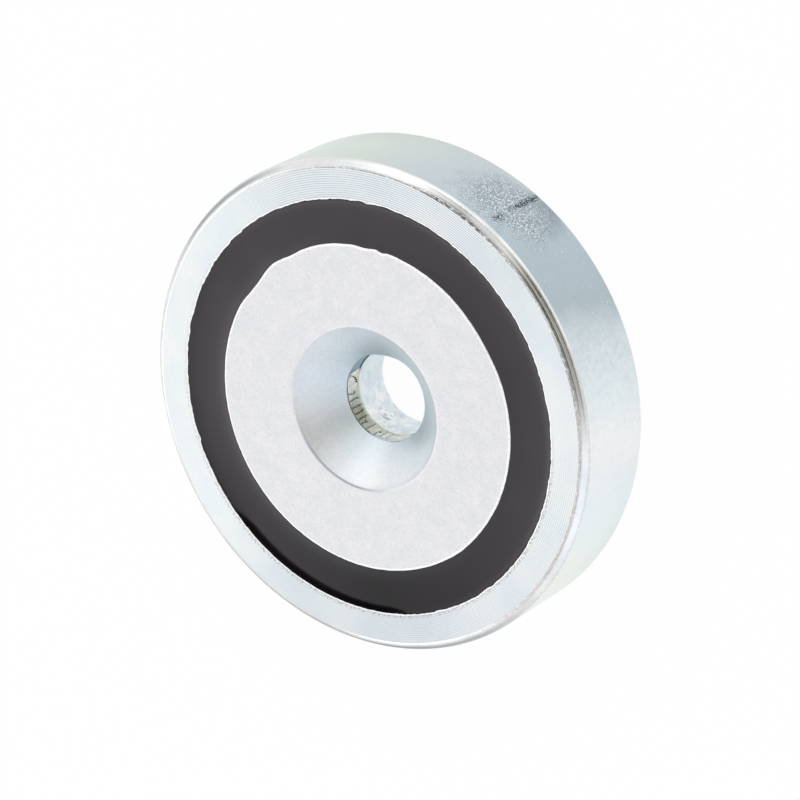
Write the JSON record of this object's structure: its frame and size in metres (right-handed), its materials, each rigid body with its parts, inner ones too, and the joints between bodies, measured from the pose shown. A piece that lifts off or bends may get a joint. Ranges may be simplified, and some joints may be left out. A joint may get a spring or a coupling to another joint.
{
  "type": "countersunk pot magnet",
  "caption": "Flat round holding magnet: a ring magnet with a countersunk screw hole, potted flush in a turned, zinc-plated steel cup.",
  "frame": {"origin": "centre of the flat back face, on the axis of the screw bore", "axes": "+Z along the bore's axis, out of the holding face; X and Y are free, since the part is round"},
  "size_m": [0.036, 0.036, 0.008],
  "materials": {
    "zinc_plated_steel": "turned, then bright zinc electroplate with a bluish passivation",
    "zinc_plated_magnet": "tumbled sintered magnet with a matte zinc plating",
    "black_potting_resin": "poured and cured, satin",
    "clear_adhesive": "cured squeeze-out, glossy and yellowish"
  },
  "bodies": {
    "root": {"steel_pot": "zinc_plated_steel", "ring_magnet": "zinc_plated_magnet", "potting_ring": "black_potting_resin", "adhesive": "clear_adhesive"}
  },
  "joints": []
}
